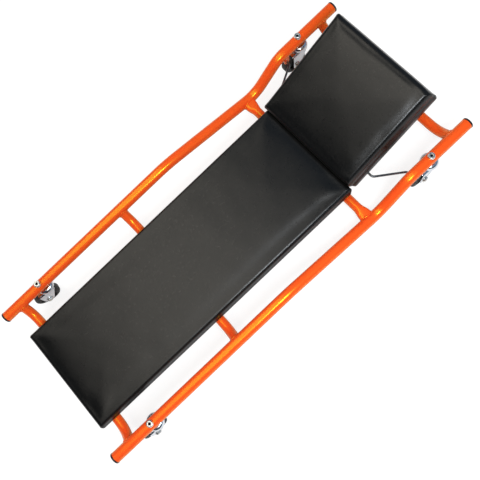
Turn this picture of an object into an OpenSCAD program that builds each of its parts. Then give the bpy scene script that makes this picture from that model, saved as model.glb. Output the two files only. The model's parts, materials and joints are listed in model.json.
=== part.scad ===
// Low-profile mechanic creeper: two dipped side rails, four crossbars, a long back pad,
// a hinged headrest held up by a wire prop, and four swivel casters.
// Origin: centre of the footprint, on the floor. +X to the head end, +Y left, +Z up.

/* [Side rails] */
// Length of each side rail, end to end, without its plastic caps
rail_len = 1016; // [980:1:1200]
// Outside diameter of the rail tube
rail_d = 25; // [22:0.5:28]
// Wall of the rails and crossbars
tube_wall = 1.5; // [1:0.1:2.5]
// Distance between the two rail axes
rail_spacing = 401.5; // [370:0.5:440]
// Height of the rail axes above the floor
rail_h = 95; // [93:1:110]
// Straight stretch of rail at the head end, up to the corner of its dip
dip_head_run = 167; // [160:1:180]
// Length of the steep side of the dip
dip_rise_run = 84; // [76:1:110]
// Length of the shallow side of the dip
dip_slope_run = 265; // [220:1:320]
// Depth of the dip under the rail axis
dip_depth = 56; // [44:1:60]
// Bend radius where the shallow side starts
dip_start_r = 260; // [120:5:400]
// Bend radius at the lowest point of the dip
dip_low_r = 70; // [50:1:90]
// Bend radius where the rail levels out again
dip_end_r = 60; // [45:1:75]

/* [Crossbars] */
// Outside diameter of the crossbars
bar_d = 22; // [19:0.5:24]
// How far the level middle of a crossbar lies under the rail axes
bar_drop = 34; // [28:0.5:40]
// Steepness of the crossbar ends, in degrees
bar_slope = 45; // [38:1:55]
// Bend radius of the crossbars
bar_bend_r = 60; // [40:1:64]
// Foot crossbar, from the foot end of the rails
bar_foot_inset = 41; // [34:1:44]
// Middle crossbar, behind the corner where the dip starts
bar_middle_back = 147; // [110:1:230]
// Shoulder crossbar, behind the lowest corner of the dip
bar_shoulder_back = 26; // [26:0.5:40]
// Head crossbar, from the head end of the rails
bar_head_inset = 40; // [34:1:44]
// Width of the flared ends of the shoulder crossbar
flare_w = 30; // [24:0.5:34]
// Height of the flared ends of the shoulder crossbar
flare_h = 17; // [14:0.5:20]
// Length of the flared ends of the shoulder crossbar
flare_len = 26; // [18:1:34]

/* [Pads] */
// Plywood board thickness
board_t = 9; // [7:0.5:12]
// Thickness of the vinyl covers
cover_t = 1.2; // [0.8:0.1:1.6]
// Width of the cover that is folded under the board
hem_w = 20; // [14:1:22]
// Width of the back pad
back_w = 268; // [230:1:290]
// Height of the back pad at its edge, board included
back_t = 20; // [18:0.5:28]
// Gap from the foot end of the rails to the back pad
back_foot_inset = 9; // [6:1:14]
// Width of the headrest
head_w = 264; // [230:1:280]
// Length of the headrest
head_len = 243; // [200:1:246]
// Height of the headrest at its edge, board included
head_t = 40; // [32:0.5:46]
// Crown of both pads over their edges
pad_crown = 5; // [3:0.5:9]
// Radius of the soft upper edges of the back pad
back_edge_r = 8; // [5:0.5:10]
// Radius of the soft upper edges of the headrest
head_edge_r = 12; // [8:0.5:16]
// Corner radius of the pads, seen from above
pad_corner_r = 14; // [10:0.5:20]
// How far the pad sides pull in between their corners
pad_draw = 3; // [1:0.5:5]
// Height of the plastic spacers between the crossbars and the back board
spacer_h = 3; // [2:0.5:5]
// Diameter of those spacers
spacer_d = 18; // [16:0.5:22]
// Distance of the back screws in from the sides of the back pad
back_screw_in = 44; // [36:1:60]
// Diameter of the back screws
back_screw_d = 6; // [5:0.5:7]

/* [Headrest hinge] */
// Angle of the headrest at rest, in degrees
head_tilt = 22; // [14:0.5:26]
// Hinge pin, ahead of the shoulder crossbar
hinge_ahead = 19; // [18:0.5:24]
// Hinge pin, under the boards
hinge_under = 4; // [3.5:0.5:6]
// Gap from the hinge pin to the end of the back pad
hinge_to_back = 9.5; // [8:0.5:12]
// Gap from the hinge pin to the end of the headrest
hinge_to_head = 6; // [6:0.5:8]
// Distance of each hinge in from the sides of the back pad
hinge_in = 59; // [50:1:74]
// Diameter of the hinge pins
pin_d = 6; // [5:0.5:7]
// Thickness of the hinge ears
ear_t = 3; // [2:0.5:4]
// Room between the two ears of a hinge
ear_room = 17; // [14:0.5:20]
// Thickness of the hinge flanges and leaves
leaf_t = 2; // [1.5:0.25:2.5]
// Width of the hinge flanges and leaves
leaf_w = 50; // [46:1:56]
// Length of the hinge leaves along the headrest
leaf_len = 22; // [19:0.5:22]
// Diameter of the hinge screws
screw_d = 4; // [3.5:0.25:4.5]

/* [Prop wire] */
// Diameter of the prop wire
wire_d = 5; // [4:0.5:6]
// Pivot of the prop wire, ahead of the corner where the rail levels out
prop_ahead = 16; // [14:0.5:18]
// Pivot of the prop wire, under the rail axes
prop_under = 28.4; // [26:0.2:32]
// Where the wire carries the headrest, from the hinge pin along the board
prop_reach = 46; // [42:0.5:50]
// Half the length of the wire's crosspiece, to its corners
prop_half = 143; // [125:1:150]
// Distance from the wire's leg corners in to the rail axes
prop_leg_in = 17; // [15:0.5:20]
// Bend radius of the wire
prop_bend_r = 10; // [8:0.5:12]
// Thickness of the lugs that carry the wire
lug_t = 3; // [2:0.5:4]
// Distance of the lugs in from the rail axes
lug_in = 7; // [5:0.5:8]
// Thickness of the two bearing strips under the headrest
strip_t = 1.5; // [1:0.25:2]
// Width of the bearing strips
strip_w = 16; // [12:1:20]
// Length of the bearing strips
strip_len = 50; // [44:1:60]
// Distance of the bearing strips in from the hinges
strip_in = 41; // [38:1:51]

/* [Casters] */
// Casters, from the ends of the rails
caster_inset = 105.5; // [98:0.5:112]
// Wheel diameter
wheel_d = 63; // [56:0.5:65]
// Tyre width
wheel_w = 22; // [18:0.5:24]
// Distance the wheel trails behind its swivel axis
caster_trail = 22; // [18:0.5:26]
// Turn of the foot left caster, in degrees
foot_left_turn = -6; // [-180:1:180]
// Diameter of the domed race
race_d = 40; // [36:0.5:44]
// Diameter of the caster bolts
bolt_d = 8; // [6:0.5:10]
// Diameter of the caster bolt heads
bolt_head_d = 16; // [13:0.5:18]
// Height of the caster bolt heads
bolt_head_h = 7; // [5:0.5:9]
// Thickness of the fork sheet
fork_t = 2.5; // [2:0.25:3]
// Diameter of the wheel axles
axle_d = 8; // [6:0.5:10]

/* [Hidden] */
$fn = 64;

// Paint and material colours
orange = [0.94, 0.33, 0.13];
vinyl = [0.17, 0.165, 0.16];
vinyl_head = [0.2, 0.195, 0.19];
foam_grey = [0.45, 0.45, 0.43];
plywood = [0.76, 0.6, 0.4];
plastic = [0.08, 0.08, 0.09];
zinc = [0.78, 0.8, 0.83];
wire_grey = [0.3, 0.31, 0.33];
rubber = [0.14, 0.14, 0.15];

// Shared clearances and overruns
over = 1;
weld_gap = 0.2;
seat_gap = 0.1;
run_gap = 0.1;
hole_gap = 0.1;
body_gap = 0.4;
bend_lap = 0.4;
bend_swell = 0.04;

// Frame places
rail_r = rail_d / 2;
rail_y = rail_spacing / 2;
half_len = rail_len / 2;
dip_end_x = half_len - dip_head_run;
dip_low_x = dip_end_x - dip_rise_run;
dip_start_x = dip_low_x - dip_slope_run;
rail_path = [
    [-half_len, rail_h], [dip_start_x, rail_h], [dip_low_x, rail_h - dip_depth],
    [dip_end_x, rail_h], [half_len, rail_h]
];
rail_bends = [dip_start_r, dip_low_r, dip_end_r];
bar_r = bar_d / 2;
bar_z = rail_h - bar_drop;
bar_foot_x = bar_foot_inset - half_len;
bar_middle_x = dip_start_x - bar_middle_back;
bar_head_x = half_len - bar_head_inset;
bar_shoulder_x = dip_low_x - bar_shoulder_back;
bar_shoulder_z = rail_h - dip_depth * (bar_shoulder_x - dip_start_x) / dip_slope_run;
flare_swell = 0.3;
cap_out = 3;
cap_plug = 15;
cap_flat_r = rail_r - cap_out;

// Pad and hinge places
board_z = bar_z + bar_r + spacer_h;
hinge_x = bar_shoulder_x + hinge_ahead;
hinge_z = board_z - hinge_under;
back_x0 = back_foot_inset - half_len;
back_x1 = hinge_x - hinge_to_back;
head_x0 = hinge_x + hinge_to_head;
head_x1 = head_x0 + head_len;
back_screw_y = back_w / 2 - back_screw_in;
hinge_y = back_w / 2 - hinge_in;
strip_y = hinge_y - strip_in;
pad_lean = 1.5;
board_round = 1;
board_in = cover_t + board_round + body_gap;
foam_in = cover_t + body_gap;
screw_bite = board_t - leaf_t;
screw_head_d = screw_d * 2;
screw_head_h = screw_d / 2;
screw_side = leaf_w * 0.37;
back_head_d = back_screw_d * 2;
back_head_h = back_screw_d * 0.6;
flange_x0 = back_x1 - hem_w - cover_t;
flange_x1 = back_x1 - cover_t;
flange_screw_x = (flange_x0 + flange_x1) / 2;
leaf_x0 = head_x0 + cover_t;
leaf_screw_x = leaf_x0 + leaf_len / 2;
notch_gap = 1;
ear_nose_r = pin_d;
ear_foot_share = 0.45;
ear_half_share = 1.3;
knuckle_r = pin_d * 0.8;
pin_head_r = pin_d * 0.8;
pin_head_t = pin_d / 3;

// Prop wire places: it rests against the strips, worked out from the tilted headrest
wire_r = wire_d / 2;
prop_x = dip_end_x + prop_ahead;
prop_z = rail_h - prop_under;
prop_off = hinge_under - seat_gap - strip_t - body_gap - wire_r;
prop_rest_x = hinge_x + prop_reach * cos(head_tilt) - prop_off * sin(head_tilt);
prop_rest_z = hinge_z + prop_reach * sin(head_tilt) + prop_off * cos(head_tilt);
prop_len = norm([prop_x - prop_rest_x, prop_rest_z - prop_z]);
prop_angle = atan2(prop_rest_z - prop_z, prop_x - prop_rest_x);
prop_leg_y = rail_y - prop_leg_in;
lug_y = rail_y - lug_in;
prop_cap_t = wire_r;
prop_cap_r = wire_d * 1.1;
prop_end_out = 1;
prop_end_y = lug_y + lug_t / 2 + prop_cap_t + body_gap + prop_end_out;
lug_r = wire_d * 1.4;
lug_half = lug_r * 1.3;
strip_x0 = head_x0 + hem_w + over;
strip_screw_in = screw_d;

// Caster places, from the floor up
caster_x = half_len - caster_inset;
wheel_r = wheel_d / 2;
wheel_room = 3;
fork_room = 2;
fork_in = wheel_w / 2 + fork_room;
crown_z = wheel_d + wheel_room;
crown_top = crown_z + fork_t;
crown_r = race_d * 0.44;
ball_d = 3.8;
ball_count = 12;
ball_ring_r = race_d * 0.35;
race_under = crown_top + ball_d + seat_gap + body_gap;
race_top = rail_h - rail_r - weld_gap;
race_skirt_z = crown_top + ball_d / 2;
race_skirt_t = 1.7;
race_top_r = race_d * 0.3;
stud_wall = 2;
stud_r = bolt_d / 2 + stud_wall;
stud_flange_r = stud_r + fork_t;
stud_flange_t = 3;
stud_bottom = crown_z - body_gap - stud_flange_t;
leg_front = race_d * 0.29;
leg_back = race_d * 0.75;
leg_eye_r = axle_d * 1.5;
axle_head_r = axle_d * 0.8;
axle_head_h = axle_d / 2;
hub_r = wheel_r * 0.7;
hub_boss_r = axle_d;
hub_rim_t = wheel_r * 0.12;
hub_web = wheel_w * 0.3;
hub_w = wheel_w * 0.82;
tyre_round = wheel_w * 0.3;

function unit(a) = [cos(a), sin(a)];
function heading(p, q) = atan2(q[1] - p[1], q[0] - p[0]);
// Point where a line from p touches a circle of radius r round c
function touch(p, c, r, side) = c + r * unit(heading(c, p) + side * acos(r / norm(p - c)));
// Yaw of a caster, by its place
function turn_of(x_side, y_side) = x_side < 0 && y_side > 0 ? foot_left_turn : 0;

// A rod of radius r along a flat path in the XY plane, with round bends. The straights run on a
// little way into the bends, and the bends are a hair thicker, so that the pieces merge cleanly
module bent_rod(path, bends, r) {
    last = len(path) - 1;
    a = [for (i = [0:last - 1]) heading(path[i], path[i + 1])];
    turn = [for (i = [0:last]) i == 0 || i == last ? 0 : a[i] - a[i - 1]];
    cut = [for (i = [0:last]) i == 0 || i == last ? 0 : bends[i - 1] * tan(abs(turn[i]) / 2)];
    for (i = [0:last - 1]) {
        lap0 = i == 0 ? 0 : bend_lap;
        lap1 = i == last - 1 ? 0 : bend_lap;
        start = path[i] + (cut[i] - lap0) * unit(a[i]);
        run = norm(path[i + 1] - path[i]) - cut[i] - cut[i + 1];
        translate([start[0], start[1], 0]) rotate([0, 0, a[i]]) rotate([0, 90, 0])
            cylinder(h = run + lap0 + lap1, r = r);
    }
    for (i = [1:last - 1]) {
        side = sign(turn[i]);
        start = path[i] - cut[i] * unit(a[i - 1]);
        centre = start + side * bends[i - 1] * unit(a[i - 1] + 90);
        from = side > 0 ? a[i - 1] - 90 : a[i] + 90;
        translate([centre[0], centre[1], 0]) rotate([0, 0, from])
            rotate_extrude(angle = abs(turn[i]), $fn = 180)
                translate([bends[i - 1], 0]) circle(r = r + bend_swell, $fn = 64);
    }
}

// The path of a rail, lifted from the XY plane to the XZ plane
module rail_rod(r) {
    rotate([90, 0, 0]) bent_rod(rail_path, rail_bends, r);
}

module side_rail(side) {
    color(orange) translate([0, side * rail_y, 0]) difference() {
        rail_rod(rail_r);
        rail_rod(rail_r - tube_wall);
        for (end = [-1, 1]) {
            translate([end * half_len, 0, rail_h]) rotate([0, 90, 0])
                cylinder(h = over * 2, r = rail_r - tube_wall, center = true);
            translate([end * caster_x, 0, rail_h - rail_d])
                cylinder(h = rail_d * 2, r = bolt_d / 2 + hole_gap);
        }
    }
}

// Room that a rail takes out of what is welded to it
module rail_cope(side) {
    translate([0, side * rail_y, 0]) rail_rod(rail_r + weld_gap);
}

module end_cap(x_side, y_side) {
    color(plastic) translate([x_side * half_len, y_side * rail_y, rail_h])
        rotate([0, x_side * 90, 0]) rotate_extrude() polygon(concat(
            [[0, -cap_plug], [rail_r - tube_wall - seat_gap, -cap_plug],
             [rail_r - tube_wall - seat_gap, 0], [rail_r, 0]],
            [for (a = [15:15:90]) [cap_flat_r + cap_out * cos(a), cap_out * sin(a)]],
            [[0, cap_out]]));
}

module dropped_bar(x, with_screws) {
    knee = rail_y - bar_drop / tan(bar_slope);
    path = [[-rail_y, rail_h], [-knee, bar_z], [knee, bar_z], [rail_y, rail_h]];
    bends = [bar_bend_r, bar_bend_r];
    color(orange) difference() {
        translate([x, 0, 0]) rotate([90, 0, 90]) bent_rod(path, bends, bar_r);
        translate([x, 0, 0]) rotate([90, 0, 90]) bent_rod(path, bends, bar_r - tube_wall);
        for (side = [-1, 1]) {
            rail_cope(side);
            if (with_screws) translate([x, side * back_screw_y, bar_z - bar_d])
                cylinder(h = bar_d * 2, r = back_screw_d / 2 + hole_gap);
        }
    }
}

module shoulder_bar() {
    flat_y = rail_y - rail_r - flare_len;
    color(orange) difference() {
        union() {
            translate([bar_shoulder_x, 0, bar_shoulder_z]) rotate([90, 0, 0])
                cylinder(h = flat_y * 2, r = bar_r, center = true);
            for (side = [-1, 1]) hull() {
                translate([bar_shoulder_x, side * flat_y, bar_shoulder_z]) rotate([90, 0, 0])
                    cylinder(h = over, r = bar_r + flare_swell, center = true, $fn = 32);
                translate([bar_shoulder_x, side * rail_y, bar_shoulder_z]) rotate([90, 0, 0])
                    scale([flare_w / bar_d, flare_h / bar_d, 1])
                    cylinder(h = rail_r, r = bar_r, center = true, $fn = 32);
            }
        }
        translate([bar_shoulder_x, 0, bar_shoulder_z]) rotate([90, 0, 0])
            cylinder(h = flat_y * 2 - over * 2, r = bar_r - tube_wall, center = true);
        for (side = [-1, 1]) rail_cope(side);
    }
}

// Outline of a pad, half size hx by hy, whose sides pull in by draw between the corners
function pad_outline(hx, hy, r, draw) =
    let (bow = function(t) draw * (1 - pow(abs(t), 4)))
    let (corners = [[1, 1, 0], [-1, 1, 90], [-1, -1, 180], [1, -1, 270]])
    [for (c = [0:3])
        let (k = corners[c], long_side = c % 2 == 0, steps = long_side ? 5 : 2)
        each concat(
            [for (a = [0:30:90]) [k[0] * (hx - r), k[1] * (hy - r)] + r * unit(k[2] + a)],
            [for (i = [1:steps]) let (t = 1 - 2 * i / (steps + 1))
                long_side ? [k[0] * t * (hx - r), k[1] * (hy - bow(t))]
                          : [k[0] * (hx - bow(t)), k[1] * t * (hy - r)]])];

function dome(t) = 1 - t * t;

// A cushion: rings of [inset, height, draw], then a crown that rises to the middle
module cushion(hx, hy, corner, rings, crown) {
    crown_shares = [0.82, 0.55, 0.25];
    least_corner = corner / 8;
    edge = rings[len(rings) - 1];
    base = pad_outline(hx - edge[0], hy - edge[0], max(corner - edge[0], least_corner), edge[2]);
    n = len(base);
    loops = concat(
        [for (g = rings) [for (p = pad_outline(hx - g[0], hy - g[0],
            max(corner - g[0], least_corner), g[2])) [p[0], p[1], g[1]]]],
        [for (s = crown_shares) [for (p = base) [p[0] * s, p[1] * s,
            edge[1] + crown * dome(s * p[0] / (hx - edge[0])) * dome(s * p[1] / (hy - edge[0]))]]]);
    m = len(loops);
    points = concat([[0, 0, rings[0][1]]], [for (l = loops) each l], [[0, 0, edge[1] + crown]]);
    top = len(points) - 1;
    faces = concat(
        [for (i = [0:n - 1]) [0, 1 + i, 1 + (i + 1) % n]],
        [for (j = [0:m - 2], i = [0:n - 1])
            let (a = 1 + j * n + i, b = 1 + j * n + (i + 1) % n) each [[a, a + n, b + n], [a, b + n, b]]],
        [for (i = [0:n - 1]) [top, 1 + (m - 1) * n + (i + 1) % n, 1 + (m - 1) * n + i]]);
    polyhedron(points, faces, convexity = 4);
}

// Rings of a pad whose skin is moved in by d: from height z0 over the board to the soft edge
function pad_rings(z0, thick, edge_r, d) =
    let (side_z = board_z + thick - edge_r, r = edge_r - d)
    concat(
        z0 < board_z + board_t
            ? [[board_round, z0, 0], [0, board_z + board_t / 3, 0], [0, board_z + board_t, 0]]
            : [[0, z0, 0]],
        [[pad_lean, side_z, pad_draw]],
        [for (a = [35:27.5:90]) [pad_lean + r * (1 - cos(a)), side_z + r * sin(a), pad_draw]]);

// A pad's skin, moved in by d, that starts at height z0
module pad_form(x0, x1, w, thick, edge_r, z0, d) {
    translate([(x0 + x1) / 2, 0, 0])
        cushion((x1 - x0) / 2 - d, w / 2 - d, pad_corner_r, pad_rings(z0, thick, edge_r, d), pad_crown);
}

module pad_cover(x0, x1, w, thick, edge_r) {
    difference() {
        pad_form(x0, x1, w, thick, edge_r, board_z - cover_t, 0);
        pad_form(x0, x1, w, thick, edge_r, board_z, cover_t);
        translate([x0 + hem_w, hem_w - w / 2, board_z - cover_t - over])
            cube([x1 - x0 - hem_w * 2, w - hem_w * 2, cover_t + over * 2]);
    }
}

module pad_foam(x0, x1, w, thick, edge_r) {
    pad_form(x0, x1, w, thick, edge_r, board_z + board_t + seat_gap, foam_in);
}

module pad_board(x0, x1, w) {
    r = pad_corner_r;
    translate([x0 + board_in, board_in - w / 2, board_z + seat_gap])
        linear_extrude(board_t - seat_gap) union() {
            sx = x1 - x0 - board_in * 2;
            sy = w - board_in * 2;
            translate([r, 0]) square([sx - r * 2, sy]);
            translate([0, r]) square([sx, sy - r * 2]);
            for (x = [r, sx - r], y = [r, sy - r]) translate([x, y]) circle(r = r);
        }
}

// Places of the screws in the two boards
module at_back_screws() {
    for (x = [bar_foot_x, bar_middle_x], side = [-1, 1]) translate([x, side * back_screw_y, 0]) children();
}

module at_flange_screws() {
    for (side = [-1, 1], off = [-1, 1])
        translate([flange_screw_x, side * hinge_y + off * screw_side, 0]) children();
}

module at_leaf_screws() {
    for (side = [-1, 1], off = [-1, 1])
        translate([leaf_screw_x, side * hinge_y + off * screw_side, 0]) children();
}

module at_strip_screws() {
    for (side = [-1, 1], x = [strip_x0 + strip_screw_in, strip_x0 + strip_len - strip_screw_in])
        translate([x, side * strip_y, 0]) children();
}

// A hole for a screw, up into a board
module board_hole(d) {
    translate([0, 0, board_z - over]) cylinder(h = screw_bite + over + seat_gap * 2, r = d / 2 + hole_gap);
}

// A round-headed screw whose head lies under a plate of thickness t on the board
module board_screw(t) {
    seat_z = board_z - t - seat_gap;
    translate([0, 0, seat_z]) cylinder(h = screw_bite + t, r = screw_d / 2);
    translate([0, 0, seat_z - screw_head_h]) difference() {
        cylinder(h = screw_head_h, r1 = screw_head_d / 3, r2 = screw_head_d / 2);
        translate([0, 0, -over]) cylinder(h = over + screw_head_h / 2, r = screw_d / 3, $fn = 6);
    }
}

module back_board() {
    color(plywood) difference() {
        pad_board(back_x0, back_x1, back_w);
        at_back_screws() board_hole(back_screw_d);
        at_flange_screws() board_hole(screw_d);
    }
}

module back_foam() {
    color(foam_grey) pad_foam(back_x0, back_x1, back_w, back_t, back_edge_r);
}

module back_cover() {
    color(vinyl) difference() {
        pad_cover(back_x0, back_x1, back_w, back_t, back_edge_r);
        for (side = [-1, 1])
            translate([flange_x0 - over, side * hinge_y - leaf_w / 2 - notch_gap, board_z - cover_t - over])
                cube([hem_w + over + cover_t / 2, leaf_w + notch_gap * 2, cover_t + over]);
    }
}

// Spacers, hollowed under to sit on the round crossbars
module back_spacers() {
    color(plastic) at_back_screws() difference() {
        translate([0, 0, board_z - spacer_h - spacer_h]) cylinder(h = spacer_h * 2, r = spacer_d / 2);
        translate([0, 0, bar_z]) rotate([90, 0, 0])
            cylinder(h = spacer_d * 2, r = bar_r + weld_gap, center = true);
        translate([0, 0, bar_z]) cylinder(h = bar_d * 2, r = back_screw_d / 2 + hole_gap);
    }
}

module back_screws() {
    low = bar_z - bar_r;
    color(zinc) {
        at_back_screws() difference() {
            union() {
                translate([0, 0, low - back_head_h]) cylinder(h = back_head_h, r = back_head_d / 2);
                translate([0, 0, low]) cylinder(h = board_z + screw_bite - low, r = back_screw_d / 2);
            }
            translate([0, 0, low - back_head_h - over])
                cylinder(h = over + back_head_h / 2, r = back_screw_d / 3, $fn = 6);
        }
        at_flange_screws() board_screw(leaf_t);
    }
}

// One hinge bracket: a flange under the board and two ears down to the shoulder crossbar
module hinge_bracket(side) {
    top = board_z - seat_gap;
    half = bar_r * ear_half_share;
    foot = bar_shoulder_z + bar_r * ear_foot_share;
    nose = [hinge_x, hinge_z];
    profile = [
        [bar_shoulder_x - half, top - leaf_t], [flange_x1, top - leaf_t],
        touch([flange_x1, top - leaf_t], nose, ear_nose_r, -1), nose,
        touch([bar_shoulder_x + half, foot], nose, ear_nose_r, 1),
        [bar_shoulder_x + half, foot], [bar_shoulder_x - half, foot]
    ];
    color(orange) difference() {
        union() {
            translate([flange_x0, side * hinge_y - leaf_w / 2, top - leaf_t])
                cube([flange_x1 - flange_x0, leaf_w, leaf_t]);
            for (off = [-1, 1])
                translate([0, side * hinge_y + off * (ear_room + ear_t) / 2 + ear_t / 2, 0])
                    rotate([90, 0, 0]) linear_extrude(ear_t) union() {
                        polygon(profile);
                        translate(nose) circle(r = ear_nose_r);
                    }
        }
        translate([bar_shoulder_x, side * hinge_y, bar_shoulder_z]) rotate([90, 0, 0])
            cylinder(h = leaf_w * 2, r = bar_r + weld_gap, center = true);
        translate([hinge_x, side * hinge_y, hinge_z]) rotate([90, 0, 0])
            cylinder(h = leaf_w, r = pin_d / 2 + hole_gap / 2, center = true);
        at_flange_screws() translate([0, 0, top - leaf_t - over])
            cylinder(h = leaf_t + over * 2, r = screw_d / 2 + hole_gap);
    }
}

module hinge_pins() {
    half = ear_room / 2 + ear_t + seat_gap;
    color(zinc) for (side = [-1, 1])
    translate([hinge_x, side * hinge_y, hinge_z]) rotate([90, 0, 0]) {
        cylinder(h = half * 2, r = pin_d / 2, center = true);
        for (end = [-1, 1]) translate([0, 0, end * (half + pin_head_t / 2)])
            cylinder(h = pin_head_t, r = pin_head_r, center = true);
    }
}

// Everything on the headrest is drawn flat, and then tilted about the hinge pins
module tilted() {
    translate([hinge_x, 0, hinge_z]) rotate([0, -head_tilt, 0]) translate([-hinge_x, 0, -hinge_z]) children();
}

module head_board() {
    color(plywood) tilted() difference() {
        pad_board(head_x0, head_x1, head_w);
        at_leaf_screws() board_hole(screw_d);
        at_strip_screws() board_hole(screw_d);
    }
}

module head_foam() {
    color(foam_grey) tilted() pad_foam(head_x0, head_x1, head_w, head_t, head_edge_r);
}

module head_cover() {
    color(vinyl_head) tilted() difference() {
        pad_cover(head_x0, head_x1, head_w, head_t, head_edge_r);
        for (side = [-1, 1])
            translate([head_x0 + cover_t / 2, side * hinge_y - leaf_w / 2 - notch_gap,
                       board_z - cover_t - over])
                cube([hem_w + over, leaf_w + notch_gap * 2, cover_t + over]);
    }
}

module hinge_leaf(side) {
    top = board_z - seat_gap;
    tongue_w = ear_room - body_gap * 2;
    color(orange) tilted() difference() {
        union() {
            translate([leaf_x0, side * hinge_y - leaf_w / 2, top - leaf_t])
                cube([leaf_len, leaf_w, leaf_t]);
            translate([hinge_x, side * hinge_y - tongue_w / 2, top - leaf_t])
                cube([leaf_x0 - hinge_x + over, tongue_w, leaf_t]);
            translate([hinge_x, side * hinge_y, hinge_z]) rotate([90, 0, 0])
                cylinder(h = tongue_w, r = knuckle_r, center = true);
        }
        translate([hinge_x, side * hinge_y, hinge_z]) rotate([90, 0, 0])
            cylinder(h = leaf_w, r = pin_d / 2 + run_gap, center = true);
        at_leaf_screws() translate([0, 0, top - leaf_t - over])
            cylinder(h = leaf_t + over * 2, r = screw_d / 2 + hole_gap);
    }
}

module prop_strips() {
    color(zinc) tilted() difference() {
        for (side = [-1, 1])
            translate([strip_x0, side * strip_y - strip_w / 2, board_z - seat_gap - strip_t])
                cube([strip_len, strip_w, strip_t]);
        at_strip_screws() translate([0, 0, board_z - seat_gap - strip_t - over])
            cylinder(h = strip_t + over * 2, r = screw_d / 2 + hole_gap);
    }
}

module head_screws() {
    color(zinc) tilted() {
        at_leaf_screws() board_screw(leaf_t);
        at_strip_screws() board_screw(strip_t);
    }
}

module prop_wire() {
    path = [
        [-prop_end_y, 0], [-prop_leg_y, 0], [-prop_half, prop_len],
        [prop_half, prop_len], [prop_leg_y, 0], [prop_end_y, 0]
    ];
    bends = [prop_bend_r, prop_bend_r, prop_bend_r, prop_bend_r];
    color(wire_grey) translate([prop_x, 0, prop_z]) rotate([0, prop_angle, 0]) rotate([0, 0, 90])
        bent_rod(path, bends, wire_r);
}

module prop_wire_caps() {
    color(plastic) for (side = [-1, 1])
        translate([prop_x, side * (lug_y + lug_t / 2 + body_gap + prop_cap_t / 2), prop_z])
            rotate([90, 0, 0]) difference() {
                cylinder(h = prop_cap_t, r = prop_cap_r, center = true);
                cylinder(h = prop_cap_t * 2, r = wire_r + hole_gap / 2, center = true);
            }
}

// A lug welded under the rail, with the wire's pivot hole
module prop_lug(side) {
    low = [prop_x, prop_z];
    top_z = rail_h - rail_r / 2;
    left = [prop_x - lug_half, top_z];
    right = [prop_x + lug_half, top_z];
    color(orange) difference() {
        translate([0, side * lug_y + lug_t / 2, 0]) rotate([90, 0, 0]) linear_extrude(lug_t) union() {
            translate(low) circle(r = lug_r);
            polygon([right, left, touch(left, low, lug_r, 1), low, touch(right, low, lug_r, -1)]);
        }
        rail_cope(side);
        translate([prop_x, side * lug_y, prop_z]) rotate([90, 0, 0])
            cylinder(h = lug_t * 2, r = wire_r + run_gap, center = true);
    }
}

module at_caster(x_side, y_side) {
    translate([x_side * caster_x, y_side * rail_y, 0]) children();
}

// What swivels is drawn trailing towards the foot end, and then turned
module at_swivel(x_side, y_side) {
    at_caster(x_side, y_side) rotate([0, 0, turn_of(x_side, y_side)]) children();
}

module at_axle(x_side, y_side) {
    at_swivel(x_side, y_side) translate([-caster_trail, 0, wheel_r]) rotate([90, 0, 0]) children();
}

module caster_bolt(x_side, y_side) {
    top = rail_h + rail_r;
    rim = bolt_head_h / 3;
    color(zinc) at_caster(x_side, y_side) difference() {
        union() {
            translate([0, 0, stud_bottom + seat_gap]) cylinder(h = top - stud_bottom, r = bolt_d / 2);
            translate([0, 0, top + seat_gap]) rotate_extrude() polygon(concat(
                [[0, 0], [bolt_head_d / 2, 0]],
                [for (a = [0:15:75])
                    [bolt_head_d / 2 * cos(a / 1.5), rim + (bolt_head_h - rim) * sin(a * 1.2)]],
                [[0, bolt_head_h]]));
        }
        translate([0, 0, top + bolt_head_h / 3]) cylinder(h = bolt_head_h, r = bolt_d / 2, $fn = 6);
    }
}

module caster_race(x_side, y_side) {
    color(zinc) at_caster(x_side, y_side) rotate_extrude() polygon(concat(
        [[bolt_d / 2 + hole_gap, stud_bottom], [stud_flange_r, stud_bottom],
         [stud_flange_r, stud_bottom + stud_flange_t], [stud_r, stud_bottom + stud_flange_t],
         [stud_r, race_under], [race_d / 2 - race_skirt_t, race_under],
         [race_d / 2 - race_skirt_t, race_skirt_z], [race_d / 2, race_skirt_z]],
        [for (a = [0:15:90]) [race_top_r + (race_d / 2 - race_top_r) * cos(a),
                              race_under + (race_top - race_under) * sin(a)]],
        [[bolt_d / 2 + hole_gap, race_top]]));
}

module caster_balls(x_side, y_side) {
    color(zinc) at_swivel(x_side, y_side) for (i = [0:ball_count - 1])
        rotate([0, 0, i * 360 / ball_count]) translate([ball_ring_r, 0, crown_top + seat_gap + ball_d / 2])
            sphere(d = ball_d, $fn = 24);
}

module caster_fork(x_side, y_side) {
    eye = [-caster_trail, wheel_r];
    front = [leg_front, crown_top];
    back = [-leg_back, crown_top];
    color(zinc) at_swivel(x_side, y_side) difference() {
        union() {
            translate([-leg_back, -fork_in - fork_t, crown_z])
                cube([leg_front + leg_back, (fork_in + fork_t) * 2, fork_t]);
            translate([0, 0, crown_z]) cylinder(h = fork_t, r = crown_r);
            for (side = [0, 1]) translate([0, side * (fork_in * 2 + fork_t) - fork_in, 0])
                rotate([90, 0, 0]) linear_extrude(fork_t) union() {
                    polygon([front, back, touch(back, eye, leg_eye_r, 1), eye,
                             touch(front, eye, leg_eye_r, -1)]);
                    translate(eye) circle(r = leg_eye_r);
                }
        }
        translate([0, 0, crown_z - over]) cylinder(h = fork_t + over * 2, r = stud_r + run_gap);
        translate([-caster_trail, 0, wheel_r]) rotate([90, 0, 0])
            cylinder(h = wheel_w * 4, r = axle_d / 2 + hole_gap / 2, center = true);
    }
}

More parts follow.
